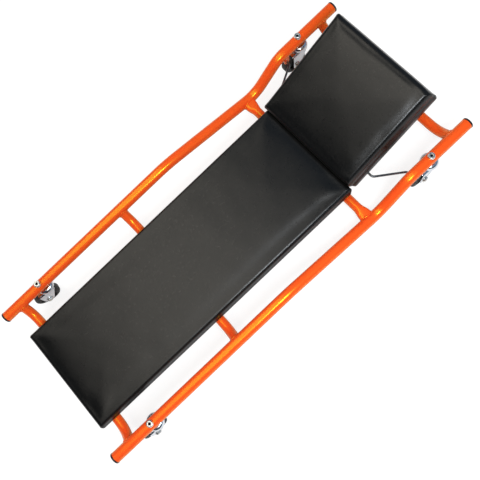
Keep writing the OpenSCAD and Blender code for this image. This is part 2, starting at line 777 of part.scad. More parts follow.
module caster_axle(x_side, y_side) {
    half = fork_in + fork_t + seat_gap;
    color(zinc) at_axle(x_side, y_side) {
        cylinder(h = half * 2, r = axle_d / 2, center = true);
        for (end = [-1, 1]) translate([0, 0, end * (half + axle_head_h / 2)])
            cylinder(h = axle_head_h, r = axle_head_r, center = true, $fn = 6);
    }
}

module wheel_hub(x_side, y_side) {
    bore = axle_d / 2 + run_gap;
    boss = fork_in - body_gap;
    rim = hub_r - hub_rim_t;
    color(plastic) at_axle(x_side, y_side) rotate_extrude() polygon([
        [bore, -boss], [hub_boss_r, -boss], [hub_boss_r, -hub_web / 2], [rim, -hub_web / 2],
        [rim, -hub_w / 2], [hub_r, -hub_w / 2], [hub_r, hub_w / 2], [rim, hub_w / 2],
        [rim, hub_web / 2], [hub_boss_r, hub_web / 2], [hub_boss_r, boss], [bore, boss]
    ]);
}

module wheel_tyre(x_side, y_side) {
    inner = hub_r + seat_gap;
    edge = wheel_r - tyre_round;
    flank = wheel_w / 2 - tyre_round;
    color(rubber) at_axle(x_side, y_side) rotate_extrude() polygon(concat(
        [[inner, wheel_w / 2], [inner, -wheel_w / 2]],
        [for (a = [-90:18:0]) [edge + tyre_round * cos(a), -flank + tyre_round * sin(a)]],
        [for (a = [0:18:90]) [edge + tyre_round * cos(a), flank + tyre_round * sin(a)]]));
}

side_rail(1);  // side_rail_left
side_rail(-1);  // side_rail_right
dropped_bar(bar_foot_x, true);  // crossbar_foot
dropped_bar(bar_middle_x, true);  // crossbar_middle
shoulder_bar();  // crossbar_shoulder
dropped_bar(bar_head_x, false);  // crossbar_head
end_cap(-1, 1);  // end_cap_foot_left
end_cap(-1, -1);  // end_cap_foot_right
end_cap(1, 1);  // end_cap_head_left
end_cap(1, -1);  // end_cap_head_right
back_board();
back_foam();
back_cover();
back_spacers();
back_screws();
hinge_bracket(1);  // hinge_bracket_left
hinge_bracket(-1);  // hinge_bracket_right
hinge_pins();
prop_lug(1);  // prop_lug_left
prop_lug(-1);  // prop_lug_right
head_board();
head_foam();
head_cover();
hinge_leaf(1);  // hinge_leaf_left
hinge_leaf(-1);  // hinge_leaf_right
prop_strips();
head_screws();
prop_wire();
prop_wire_caps();
caster_bolt(-1, 1);  // caster_bolt_foot_left
caster_bolt(-1, -1);  // caster_bolt_foot_right
caster_bolt(1, 1);  // caster_bolt_head_left
caster_bolt(1, -1);  // caster_bolt_head_right
caster_race(-1, 1);  // caster_race_foot_left
caster_race(-1, -1);  // caster_race_foot_right
caster_race(1, 1);  // caster_race_head_left
caster_race(1, -1);  // caster_race_head_right
caster_balls(-1, 1);  // caster_balls_foot_left
caster_balls(-1, -1);  // caster_balls_foot_right
caster_balls(1, 1);  // caster_balls_head_left
caster_balls(1, -1);  // caster_balls_head_right
caster_fork(-1, 1);  // caster_fork_foot_left
caster_fork(-1, -1);  // caster_fork_foot_right
caster_fork(1, 1);  // caster_fork_head_left
caster_fork(1, -1);  // caster_fork_head_right
caster_axle(-1, 1);  // caster_axle_foot_left
caster_axle(-1, -1);  // caster_axle_foot_right
caster_axle(1, 1);  // caster_axle_head_left
caster_axle(1, -1);  // caster_axle_head_right
wheel_hub(-1, 1);  // wheel_hub_foot_left
wheel_hub(-1, -1);  // wheel_hub_foot_right
wheel_hub(1, 1);  // wheel_hub_head_left
wheel_hub(1, -1);  // wheel_hub_head_right
wheel_tyre(-1, 1);  // wheel_tyre_foot_left
wheel_tyre(-1, -1);  // wheel_tyre_foot_right
wheel_tyre(1, 1);  // wheel_tyre_head_left
wheel_tyre(1, -1);  // wheel_tyre_head_right
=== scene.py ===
"""Looks of a low-profile mechanic's creeper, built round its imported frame.

All lengths are in metres, in the frame's own axes: +X to the head end, +Y left, +Z up.
"""

import json
import math
import random

import bpy
import numpy as np
from mathutils import Matrix, Vector, noise


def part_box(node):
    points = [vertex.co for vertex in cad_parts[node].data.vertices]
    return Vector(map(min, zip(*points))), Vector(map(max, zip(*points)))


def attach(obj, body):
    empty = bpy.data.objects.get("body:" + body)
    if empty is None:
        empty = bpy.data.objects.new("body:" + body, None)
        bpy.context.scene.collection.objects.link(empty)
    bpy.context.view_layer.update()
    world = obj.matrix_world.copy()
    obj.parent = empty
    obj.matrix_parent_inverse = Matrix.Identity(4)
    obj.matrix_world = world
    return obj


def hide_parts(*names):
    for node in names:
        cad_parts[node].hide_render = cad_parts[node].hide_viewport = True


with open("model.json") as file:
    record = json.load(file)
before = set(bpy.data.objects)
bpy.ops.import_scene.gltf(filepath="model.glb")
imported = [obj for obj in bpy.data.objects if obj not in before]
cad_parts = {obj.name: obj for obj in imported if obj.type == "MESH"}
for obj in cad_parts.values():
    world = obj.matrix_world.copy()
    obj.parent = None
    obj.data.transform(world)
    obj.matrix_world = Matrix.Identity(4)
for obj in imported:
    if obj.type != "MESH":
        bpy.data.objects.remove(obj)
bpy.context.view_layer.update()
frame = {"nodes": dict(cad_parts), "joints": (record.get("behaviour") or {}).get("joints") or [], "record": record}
scene = bpy.context.scene
scene.view_settings.view_transform = "Standard"
MM = 0.001
ENDS = {"foot": -1, "head": 1}
SIDES = {"left": 1, "right": -1}
PLACES = [(end, side) for end in ENDS for side in SIDES]

# Camera, fitted to the rail ends, bolt heads and bends of the photograph
CAMERA_AIM = Vector((-0.0043, -0.04485, 0.095))
CAMERA_DISTANCE = 1.267
CAMERA_AZIMUTH = math.radians(1.037)
CAMERA_ELEVATION = math.radians(75.639)
CAMERA_ROLL = math.radians(-44.575)
CAMERA_FOCAL_PIXELS = 586
PHOTO_PIXELS = 480
SENSOR = 36

# Places taken from the frame
rail_low, rail_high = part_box("side_rail_left")
RAIL_Y = (rail_low.y + rail_high.y) / 2
RAIL_R = (rail_high.y - rail_low.y) / 2
RAIL_Z = rail_high.z - RAIL_R
shoulder_low, shoulder_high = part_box("crossbar_shoulder")
SHOULDER_Z = (shoulder_low.z + shoulder_high.z) / 2
JOINTS = {joint["name"]: joint for joint in frame["joints"]}
HINGE = Vector(JOINTS["headrest_tilt"]["pos_m"])

# Sizes that the frame's boxes don't show
HEAD_TILT = math.radians(22)
DIP_FALL = 56 * MM
DIP_RUN = 265 * MM
DIP_SLOPE = math.atan2(DIP_FALL, DIP_RUN)
BOARD_T = 9 * MM
FLARE_W = 30 * MM
FLARE_H = 17 * MM
BAR_R = 11 * MM
BOLT_HOLE_R = 4.2 * MM
BOLT_R = 4 * MM
SOCKET_R = 2.9 * MM
TOUCH_GAP = 0.1 * MM


def make_camera():
    """The photograph's camera: nearly overhead, and rolled so that the bed runs up to the right."""
    level = math.cos(CAMERA_ELEVATION)
    back = Vector((math.sin(CAMERA_AZIMUTH) * level, -math.cos(CAMERA_AZIMUTH) * level,
                   math.sin(CAMERA_ELEVATION)))
    right = (-back).cross(Vector((0, 0, 1))).normalized()
    up = right.cross(-back)
    turned_right = right * math.cos(CAMERA_ROLL) + up * math.sin(CAMERA_ROLL)
    turned_up = up * math.cos(CAMERA_ROLL) - right * math.sin(CAMERA_ROLL)
    data = bpy.data.cameras.new("camera")
    data.sensor_width = SENSOR
    data.lens = SENSOR * CAMERA_FOCAL_PIXELS / PHOTO_PIXELS
    camera = bpy.data.objects.new("camera", data)
    scene.collection.objects.link(camera)
    turn = Matrix((turned_right, turned_up, back)).transposed()
    camera.matrix_world = Matrix.Translation(CAMERA_AIM + back * CAMERA_DISTANCE) @ turn.to_4x4()
    scene.camera = camera


def node(tree, kind, inputs=None, **settings):
    """A new shader node. Its inputs are values, or sockets to link from."""
    made = tree.nodes.new(kind)
    for name, value in settings.items():
        setattr(made, name, value)
    for name, value in (inputs or {}).items():
        if isinstance(value, bpy.types.NodeSocket):
            tree.links.new(value, made.inputs[name])
        else:
            made.inputs[name].default_value = value
    return made


def new_look(name, values):
    """A material, its node tree and its Principled shader, whose plain sockets hold values."""
    material = bpy.data.materials.new(name)
    material.use_nodes = True
    shader = material.node_tree.nodes["Principled BSDF"]
    for socket, value in values.items():
        shader.inputs[socket].default_value = value
    return material, material.node_tree, shader


def object_place(tree, stretch=(1, 1, 1), turn=(0, 0, 0)):
    """The point's place in the frame, stretched along the axes and turned."""
    coordinates = node(tree, "ShaderNodeTexCoord")
    return node(tree, "ShaderNodeMapping", {"Vector": coordinates.outputs["Object"],
                                            "Scale": stretch, "Rotation": turn}).outputs["Vector"]


def maths(tree, operation, *inputs):
    """The result of a sum on one or two numbers or sockets."""
    return node(tree, "ShaderNodeMath", dict(enumerate(inputs)), operation=operation).outputs[0]


def grain(tree, place, scale, detail=2.0):
    """Noise from 0 to 1. Its scale is in waves to the metre."""
    return node(tree, "ShaderNodeTexNoise",
                {"Vector": place, "Scale": scale, "Detail": detail}).outputs["Fac"]


def spread(tree, source, low, high, start=0.3, stop=0.7):
    """Numbers from low to high as the source goes from start to stop."""
    return node(tree, "ShaderNodeMapRange",
                {"Value": source, "From Min": start, "From Max": stop,
                 "To Min": low, "To Max": high}).outputs["Result"]


def tint(tree, source, colours):
    """A colour ramp: colours is a list of (place, colour)."""
    ramp = node(tree, "ShaderNodeValToRGB", {"Fac": source})
    stops = ramp.color_ramp.elements
    for (place, colour), stop in zip(colours, stops):
        stop.position = place
        stop.color = (*colour, 1)
    for place, colour in colours[len(stops):]:
        stops.new(place).color = (*colour, 1)
    return ramp.outputs["Color"]


def bump(tree, shader, height, strength, distance, below=None):
    """Relief on the shader from a height, on top of the relief below."""
    inputs = {"Height": height, "Strength": strength, "Distance": distance}
    if below is not None:
        inputs["Normal"] = below
    made = node(tree, "ShaderNodeBump", inputs).outputs["Normal"]
    tree.links.new(made, shader.inputs["Normal"])
    return made


def link(tree, source, shader, socket):
    """The source's value into one of the shader's sockets."""
    tree.links.new(source, shader.inputs[socket])


def paint_look():
    """Orange gloss paint on steel tube, with a little orange peel."""
    look, tree, shader = new_look("orange_paint", {
        "Specular IOR Level": 1.0, "Specular Tint": (0.35, 1, 0.05, 1)})
    place = object_place(tree)
    mottle = grain(tree, place, 14, 4)
    dark, light = (0.80, 0.067, 0.0123), (0.82, 0.070, 0.0131)
    link(tree, tint(tree, mottle, [(0.3, dark), (0.7, light)]), shader, "Base Color")
    link(tree, spread(tree, grain(tree, place, 45), 0.22, 0.26), shader, "Roughness")
    bump(tree, shader, grain(tree, place, 260, 1), 0.015, 0.3 * MM)
    return look


def vinyl_look():
    """Black upholstery vinyl with a pebbled grain."""
    look, tree, shader = new_look("black_vinyl", {"Specular IOR Level": 0.37})
    place = object_place(tree, turn=(0.6, 0.8, 0.4))
    cells = node(tree, "ShaderNodeTexVoronoi", {"Vector": place, "Scale": 620},
                 feature="DISTANCE_TO_EDGE").outputs["Distance"]
    pebbles = spread(tree, cells, 0, 1, 0.0, 0.35)
    mottle = grain(tree, place, 9, 5)
    dark, light = (0.0024, 0.0024, 0.0023), (0.0032, 0.0031, 0.0030)
    link(tree, tint(tree, mottle, [(0.3, dark), (0.7, light)]), shader, "Base Color")
    link(tree, spread(tree, grain(tree, place, 230, 3), 0.27, 0.35), shader, "Roughness")
    coarse = bump(tree, shader, pebbles, 0.2, 0.12 * MM)
    bump(tree, shader, grain(tree, place, 260, 3), 0.3, 0.15 * MM, coarse)
    return look


def plywood_look():
    """Birch plywood, its grain along the bed."""
    look, tree, shader = new_look("plywood", {"Specular IOR Level": 0.3})
    place = object_place(tree, (0.09, 1, 1))
    veins = node(tree, "ShaderNodeTexWave", {
        "Vector": place, "Scale": 22, "Distortion": 7, "Detail": 4, "Detail Scale": 1.6},
        wave_type="BANDS", bands_direction="Y").outputs["Fac"]
    fibres = grain(tree, object_place(tree, (0.03, 1, 1)), 900, 3)
    link(tree, tint(tree, veins, [(0.1, (0.50, 0.33, 0.17)), (0.6, (0.60, 0.42, 0.24)),
                                  (0.95, (0.42, 0.26, 0.13))]), shader, "Base Color")
    link(tree, spread(tree, fibres, 0.6, 0.8), shader, "Roughness")
    bump(tree, shader, fibres, 0.3, 0.15 * MM)
    return look


def plastic_look(name, dark, light, rough):
    """Moulded plastic or rubber with a fine spark-eroded grain."""
    look, tree, shader = new_look(name, {"Specular IOR Level": 0.45})
    place = object_place(tree)
    link(tree, tint(tree, grain(tree, place, 60, 4), [(0.35, dark), (0.7, light)]), shader, "Base Color")
    link(tree, spread(tree, grain(tree, place, 240, 2), rough - 0.07, rough + 0.07), shader, "Roughness")
    bump(tree, shader, grain(tree, place, 1800, 1), 0.2, 0.08 * MM)
    return look


def metal_look(name, dark, light, low, high):
    """Plated or bare metal with faint press and handling marks."""
    look, tree, shader = new_look(name, {"Metallic": 1.0})
    place = object_place(tree)
    link(tree, tint(tree, grain(tree, place, 55, 5), [(0.3, dark), (0.7, light)]), shader, "Base Color")
    scuffs = grain(tree, object_place(tree, (1, 1, 3.5)), 380, 3)
    link(tree, spread(tree, scuffs, low, high), shader, "Roughness")
    bump(tree, shader, grain(tree, place, 130, 3), 0.06, 0.3 * MM)
    return look


BOLT_STEEL = ((0.60, 0.60, 0.58), (0.80, 0.79, 0.75), 0.20, 0.34)


def bolt_head_look():
    """Bolt steel, with painted shade in the sockets of the four caster bolts: black and fully rough there, in
    place of the shadow deep in each hole.
    """
    look = metal_look("bolt_head", *BOLT_STEEL)
    tree = look.node_tree
    shader = tree.nodes["Principled BSDF"]
    x, y, z = node(tree, "ShaderNodeSeparateXYZ", {0: object_place(tree)}).outputs
    swivel = JOINTS["swivel_head_left"]["pos_m"]
    squares = []
    for part, place in ((x, swivel[0]), (y, swivel[1])):
        off = maths(tree, "SUBTRACT", maths(tree, "ABSOLUTE", part), place)
        squares.append(maths(tree, "POWER", off, 2.0))
    radius = maths(tree, "SQRT", maths(tree, "ADD", *squares))
    # Painted shade: a mask of each caster bolt's socket, above the rail, where the hole's shadow is painted in.
    inside = spread(tree, radius, 1.0, 0.0, SOCKET_R - 0.2 * MM, SOCKET_R + 0.3 * MM)
    socket_shade_mask = maths(tree, "MULTIPLY", maths(tree, "GREATER_THAN", z, RAIL_Z), inside)
    steel_colour = shader.inputs["Base Color"].links[0].from_socket
    smooth = shader.inputs["Roughness"].links[0].from_socket
    # Painted shade: the near-black colour put into each socket in place of its shadow.
    socket_shade_colour = (0.012, 0.011, 0.010, 1)
    colour = node(tree, "ShaderNodeMixRGB", {"Fac": socket_shade_mask, "Color1": steel_colour, "Color2": socket_shade_colour})
    link(tree, colour.outputs[0], shader, "Base Color")
    # Painted shade: the socket is also made fully rough, so that it shows no reflection.
    link(tree, maths(tree, "MAXIMUM", socket_shade_mask, smooth), shader, "Roughness")
    return look


LOOKS = {
    "orange_paint": paint_look(),
    "black_vinyl": vinyl_look(),
    "foam": plastic_look("foam", (0.16, 0.16, 0.15), (0.22, 0.22, 0.2), 0.9),
    "plywood": plywood_look(),
    "black_plastic": plastic_look("black_plastic", (0.006, 0.006, 0.007), (0.014, 0.014, 0.015), 0.35),
    "zinc_plate": metal_look("zinc_plate", (0.62, 0.66, 0.72), (0.80, 0.82, 0.85), 0.10, 0.24),
    "bolt_steel": metal_look("bolt_steel", *BOLT_STEEL),
    "wire_steel": metal_look("wire_steel", (0.10, 0.105, 0.11), (0.17, 0.175, 0.18), 0.28, 0.42),
    "hub_plastic": plastic_look("hub_plastic", (0.010, 0.010, 0.011), (0.022, 0.022, 0.023), 0.42),
    "tyre_rubber": plastic_look("tyre_rubber", (0.012, 0.012, 0.012), (0.028, 0.027, 0.026), 0.6),
}


def dress_frame():
    """Every CAD node gets its slot's look."""
    for part in frame["record"]["subparts"]:
        materials = frame["nodes"][part["node"]].data.materials
        materials.clear()
        materials.append(LOOKS[part["material_slot"]])


def add_piece(name, shell, body, slot, stands_for=(), crease=35):
    """A new piece from (points, faces) in the row frame, smooth but for edges over crease degrees."""
    points, faces = shell
    mesh = bpy.data.meshes.new(name)
    mesh.from_pydata([tuple(p) for p in points], [], faces)
    mesh.validate()
    mesh.shade_smooth()
    mesh.set_sharp_from_angle(angle=math.radians(crease))
    mesh.materials.append(LOOKS[slot])
    piece = bpy.data.objects.new(name, mesh)
    scene.collection.objects.link(piece)
    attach(piece, body)
    if stands_for:
        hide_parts(*stands_for)
    return piece


def joined(shells):
    """Several shells as one."""
    points, faces = [], []
    for more_points, more_faces in shells:
        start = len(points)
        points.extend(more_points)
        faces.extend([tuple(i + start for i in face) for face in more_faces])
    return points, faces


def placed(shell, matrix):
    """The shell moved by a matrix."""
    points, faces = shell
    return [matrix @ Vector(p) for p in points], faces


def clamp(t):
    """The number held between 0 and 1."""
    return max(0, min(1, t))


def eased(t):
    """From 0 to 1 with level ends, as t goes from 0 to 1."""
    return t * t * (3 - 2 * t)


def strip_faces(rings, count, closed=True):
    """Quads between rings of count points each, with the first ring's points first."""
    last = count if closed else count - 1
    return [(r * count + i, r * count + (i + 1) % count,
             (r + 1) * count + (i + 1) % count, (r + 1) * count + i)
            for r in range(rings - 1) for i in range(last)]


def hexagon(angle):
    """How far a hexagon of half width 1 reaches in the direction of angle."""
    return 1 / math.cos((angle + math.pi / 6) % (math.pi / 3) - math.pi / 6)


def lathe(profile, sides=64):
    """A turned shell round Z. The profile is a list of (radius, height) or (radius, height, "hex")
    and closes on itself, or ends at radius 0."""
    rings = []
    for entry in profile:
        radius, height = entry[0], entry[1]
        ring = []
        for i in range(sides):
            angle = 2 * math.pi * i / sides
            reach = radius * (hexagon(angle) if len(entry) > 2 else 1)
            ring.append((reach * math.cos(angle), reach * math.sin(angle), height))
        rings.append(ring)
    points = [p for ring in rings for p in ring]
    faces = strip_faces(len(rings), sides)
    if profile[0][0] > 0 and profile[-1][0] > 0:
        faces += closing_faces(len(rings), sides)
    return points, faces


def closing_faces(rings, count):
    """Quads from the last ring back to the first."""
    last = (rings - 1) * count
    return [(last + i, last + (i + 1) % count, (i + 1) % count, i) for i in range(count)]


def ring_faces(above, below):
    """Quads between two closed rings, each a list of point numbers."""
    count = len(above)
    return [(above[k], below[k], below[(k + 1) % count], above[(k + 1) % count]) for k in range(count)]


def arc(centre, radius, start, stop, steps):
    """Points of an arc in the profile plane, angles in degrees."""
    return [(centre[0] + radius * math.cos(math.radians(start + (stop - start) * i / steps)),
             centre[1] + radius * math.sin(math.radians(start + (stop - start) * i / steps)))
            for i in range(steps + 1)]


def sweep(path, radii, outward, sides=10, closed=True):
    """A tube along path. outward holds a direction for each point that the rings line up with."""
    count = len(path)
    points = []
    for i, centre in enumerate(path):
        before = path[i - 1] if closed or i > 0 else path[i]
        after = path[(i + 1) % count] if closed or i < count - 1 else path[i]
        along = (after - before).normalized()
        out = (outward[i] - along * outward[i].dot(along)).normalized()
        across = along.cross(out)
        for k in range(sides):
            angle = 2 * math.pi * k / sides
            points.append(centre + (out * math.cos(angle) + across * math.sin(angle)) * radii[i])
    faces = strip_faces(count, sides)
    if closed:
        faces += closing_faces(count, sides)
    else:
        faces += [tuple(reversed(range(sides))), tuple(range((count - 1) * sides, count * sides))]
    return points, faces


def seen_directly(tree, path):
    """1 for what the camera sees, also through glass, and 0 for other rays."""
    return maths(tree, "MAXIMUM", path.outputs["Is Camera Ray"], path.outputs["Is Transmission Ray"])


def make_stage():
    """A plain white floor that keeps a soft shadow, and is greyer in reflections."""
    half = 6
    under_wheels = 0.3 * MM
    shown_in_mirrors = 0.4
    mesh = bpy.data.meshes.new("floor")
    mesh.from_pydata([(-half, -half, 0), (half, -half, 0), (half, half, 0), (-half, half, 0)], [],
                     [(0, 1, 2, 3)])
    floor = bpy.data.objects.new("floor", mesh)
    floor.location.z = -under_wheels
    scene.collection.objects.link(floor)
    look = bpy.data.materials.new("floor")
    look.use_nodes = True
    tree = look.node_tree
    tree.nodes.clear()
    path = node(tree, "ShaderNodeLightPath")
    mirrored = maths(tree, "MULTIPLY", path.outputs["Is Glossy Ray"], shown_in_mirrors)
    seen = maths(tree, "MAXIMUM", seen_directly(tree, path), mirrored)
    shadowed = node(tree, "ShaderNodeBsdfDiffuse", {"Color": (0.28, 0.28, 0.28, 1)})
    lift = node(tree, "ShaderNodeEmission", {"Color": (1, 1, 1, 1), "Strength": 0.78})
    bright = node(tree, "ShaderNodeAddShader")
    tree.links.new(shadowed.outputs[0], bright.inputs[0])
    tree.links.new(lift.outputs[0], bright.inputs[1])
    plain = node(tree, "ShaderNodeBsdfDiffuse", {"Color": (0.75, 0.75, 0.75, 1)})
    both = node(tree, "ShaderNodeMixShader", {0: seen})
    tree.links.new(plain.outputs[0], both.inputs[1])
    tree.links.new(bright.outputs[0], both.inputs[2])
    node(tree, "ShaderNodeOutputMaterial", {"Surface": both.outputs[0]})
    mesh.materials.append(look)


def make_world():
    """White behind the object. Reflections show a dim blue studio, brighter to the head end, with
    white from the horizon down. All else is lit by an even fill."""
    world = bpy.data.worlds.new("studio")
    scene.world = world
    world.use_nodes = True
    tree = world.node_tree
    tree.nodes.clear()
    direction = node(tree, "ShaderNodeTexCoord").outputs["Generated"]
    parts = node(tree, "ShaderNodeSeparateXYZ", {0: direction}).outputs
    to_head = spread(tree, parts["X"], 0.06, 0.34, start=-0.1, stop=0.35)
    dim = node(tree, "ShaderNodeBackground", {"Color": (0.55, 0.75, 1, 1), "Strength": to_head})
    white = node(tree, "ShaderNodeBackground", {"Color": (1, 1, 1, 1), "Strength": 1.0})
    horizon = spread(tree, parts["Z"], 1.0, 0.0, start=-0.02, stop=0.05)
    mirrored = node(tree, "ShaderNodeMixShader", {0: horizon})
    tree.links.new(dim.outputs[0], mirrored.inputs[1])
    tree.links.new(white.outputs[0], mirrored.inputs[2])
    fill = node(tree, "ShaderNodeBackground", {"Color": (0.95, 0.97, 1, 1), "Strength": 0.5})
    path = node(tree, "ShaderNodeLightPath")
    shown = node(tree, "ShaderNodeMixShader", {0: path.outputs["Is Glossy Ray"]})
    tree.links.new(fill.outputs[0], shown.inputs[1])
    tree.links.new(mirrored.outputs[0], shown.inputs[2])
    both = node(tree, "ShaderNodeMixShader", {0: seen_directly(tree, path)})
    tree.links.new(shown.outputs[0], both.inputs[1])
    tree.links.new(white.outputs[0], both.inputs[2])
    node(tree, "ShaderNodeOutputWorld", {"Surface": both.outputs[0]})


def add_lamp(name, place, size, power, colour):
    """A soft box that shines straight down."""
    data = bpy.data.lights.new(name, "AREA")
    data.shape = "RECTANGLE"
    data.size, data.size_y = size
    data.energy = power
    data.color = colour
    lamp = bpy.data.objects.new(name, data)
    lamp.location = place
    lamp.visible_camera = False
    scene.collection.objects.link(lamp)


def make_lamps():
    """A long warm soft box high over the back pad, and a small cool one near the camera."""
    add_lamp("over_back", place=(-0.96, 1.5, 6), size=(2.64, 11.4), power=275,
             colour=(1, 0.945, 0.84))
    add_lamp("beside_camera", place=(0.06, -0.72, 1.3), size=(0.34, 0.4), power=13.5,
             colour=(0.86, 0.93, 1))


def tyre_shell(radius, width, bore):
    """A solid tyre with round shoulders and two fine moulding rings on each flank."""
    half = width / 2
    round_r = 6.5 * MM
    step = 0.5 * MM
    ring_w = 1.2 * MM
    flank = [(bore, half - step), (bore + ring_w, half), (radius - round_r - 4 * ring_w, half),
             (radius - round_r - 3 * ring_w, half - step), (radius - round_r - ring_w, half - step)]
    shoulder = arc((radius - round_r, half - round_r - step), round_r, 84, 6, 8)
    upper = flank + shoulder
    lower = [(r, -z) for r, z in reversed(upper)]
    return lathe(upper + lower, 96)


def hub_shell(radius, width, boss_half, bore):
    """A moulded wheel hub: rim, web, boss and radial ribs."""
    rim_t = 2.6 * MM
    boss_r = 8 * MM
    web_half = 2.2 * MM
    soft = 0.6 * MM
    rib_t = 1.8 * MM
    half = width / 2
    rim = radius - rim_t
    upper = [(bore, boss_half), (boss_r - soft, boss_half), (boss_r, boss_half - soft),
             (boss_r + soft, web_half + soft), (boss_r + 2 * soft, web_half),
             (rim - 2 * soft, web_half), (rim - soft, web_half + soft), (rim, half - soft),
             (rim + soft, half), (radius - soft, half), (radius, half - soft)]
    shells = [lathe(upper + [(r, -z) for r, z in reversed(upper)], 72)]
    ribs = 6
    rib = rib_shell(boss_r - soft, rim + soft, rib_t, web_half, half - 2 * soft, soft)
    for k in range(ribs):
        turn = Matrix.Rotation(2 * math.pi * k / ribs, 4, "Z")
        for face in (1, -1):
            shells.append(placed(rib, turn @ Matrix.Scale(face, 4, Vector((0, 0, 1)))))
    return joined(shells)


def rib_shell(start, stop, thick, low, high, soft):
    """A rib along X with a softened crest."""
    half = thick / 2
    section = [(-half, low - soft), (half, low - soft), (half, high - soft), (half - soft / 2, high),
               (-half + soft / 2, high), (-half, high - soft)]
    points = [(x, y, z) for x in (start, stop) for y, z in section]
    count = len(section)
    faces = strip_faces(2, count) + [tuple(reversed(range(count))), tuple(range(count, 2 * count))]
    return points, faces


def nut_shell(half_w, height, thread_r, domed):
    """A chamfered hexagon on a washer, with the end of its thread or a domed top. It stands on z = 0."""
    chamfer = 0.8 * MM
    washer_t = 0.9 * MM
    washer_r = half_w * 1.3
    top = washer_t + height
    profile = [(thread_r / 2, 0), (washer_r - chamfer / 4, 0), (washer_r, chamfer / 4),
               (washer_r, washer_t - chamfer / 4), (washer_r - chamfer / 4, washer_t),
               (half_w, washer_t, "hex"), (half_w, top - chamfer, "hex"),
               (half_w * 0.97, top - chamfer / 3), (half_w * 0.86, top)]
    if domed:
        profile += [(half_w * 0.5, top + chamfer * 0.6), (0, top + chamfer * 0.8)]
    else:
        profile += [(thread_r * 1.1, top), (thread_r, top - chamfer / 2), (thread_r, top + chamfer),
                    (thread_r - chamfer / 2, top + 1.5 * chamfer), (0, top + 1.5 * chamfer)]
    return lathe(profile, 48)


def bolt_shell(head_r, head_h, shank_r, low, seat):
    """A flat-headed bolt: shank from low up to seat, rounded head with a hexagon socket."""
    socket = SOCKET_R * 0.9
    rim = head_h / 3
    soft = 0.4 * MM
    floor = seat - 0.6 * MM
    lip = seat + head_h
    flat_r = head_r * 0.7
    shoulder = [(flat_r + (head_r - flat_r) * math.cos(a), seat + rim + (head_h - rim) * math.sin(a))
                for a in (math.radians(10 * i) for i in range(1, 10))]
    profile = [(0, low), (shank_r - soft, low), (shank_r, low + soft), (shank_r, seat),
               (head_r - soft, seat), (head_r, seat + soft), (head_r, seat + rim)] + shoulder + [
        (SOCKET_R * 1.18, lip), (SOCKET_R * 1.08, lip - soft / 4), (socket, lip - soft, "hex"),
        (socket, floor, "hex"), (socket * 0.9, floor), (0, floor - socket * 0.6)]
    return lathe(profile, 72)


def race_shell(radius, low, under, top, bore):
    """The domed upper race of a caster with a rolled skirt, and the stud flange inside it."""
    skirt = 1.6 * MM
    lip = 0.7 * MM
    top_r = radius * 0.6
    stud_r = 6 * MM
    flange_r = 8.5 * MM
    flange_t = 3 * MM
    dome = [(top_r + (radius - top_r) * math.cos(a), under + (top - under) * math.sin(a))
            for a in (math.radians(90 - 7.5 * i) for i in range(13))]
    rolled = arc((radius - lip, under - 2 * lip), lip * 1.25, 10, -190, 8)
    profile = [(bore, top), (top_r * 0.7, top)] + dome + rolled + [
        (radius - skirt - lip, under + lip), (stud_r, under + lip), (stud_r, low + flange_t),
        (flange_r, low + flange_t), (flange_r, low), (bore, low)]
    return lathe(profile, 96)


def fork_shell(trail, eye_z, eye_r, crown_z, half_in, sheet, front, back, crown_r):
    """A pressed fork: a sheet bent down into two tapered legs that end round the axle. Each entry of
    its line holds a place across, a height, and the sheet's back and front edges there."""
    mid = half_in + sheet / 2
    bend_r = 4.5 * MM
    middle_z = crown_z + sheet / 2
    bend_z = middle_z - bend_r
    eye_points, columns, crown_steps = 180, 12, 8
    rounding = 1e-9
    angles = [2 * math.pi * i / eye_points for i in range(eye_points)]
    eye = [(-trail + eye_r * math.cos(a), eye_z + eye_r * math.sin(a)) for a in angles]

    def span(z):
        """The leg's back and front edges at height z, on lines from the crown that touch the eye."""
        below = [(x, q) for x, q in eye if q <= z + rounding]
        reach = [[x + (corner - x) * (z - q) / (crown_z - q) for x, q in below]
                 for corner in (-back, front)]
        return min(reach[0]), max(reach[1])

    round_eye = [eye_z + eye_r * math.sin(math.radians(a)) for a in (-89, -80, -70, -58, -45, -30, -12)]
    up_leg = [eye_z + (bend_z - eye_z) * t for t in (0.05, 0.2, 0.4, 0.6, 0.8, 1)]
    line = [(-mid, z, *span(min(z, crown_z - TOUCH_GAP))) for z in round_eye + up_leg]
    for a in range(15, 90, 15):
        turn = math.radians(a)
        line.append((-mid + bend_r * (1 - math.cos(turn)), bend_z + bend_r * math.sin(turn), -back, front))
    flat = mid - bend_r
    crown = []
    for i in range(crown_steps + 1):
        y = -flat + 2 * flat * i / crown_steps
        bulge = math.sqrt(max(crown_r ** 2 - y ** 2, 0))
        crown.append((y, middle_z, min(-back, -bulge), max(front, bulge)))
    line += crown + [(-y, z, b, f) for y, z, b, f in reversed(line)]
    points = [(b + (f - b) * k / columns, y, z) for y, z, b, f in line for k in range(columns + 1)]
    return points, strip_faces(len(line), columns + 1, closed=False)


def thicken(piece, thickness, soft):
    """Sheet to plate, with softened edges."""
    solid = piece.modifiers.new("sheet", "SOLIDIFY")
    solid.thickness = thickness
    solid.offset = 0
    edge = piece.modifiers.new("edge", "BEVEL")
    edge.width = soft
    edge.segments = 2
    edge.angle_limit = math.radians(50)


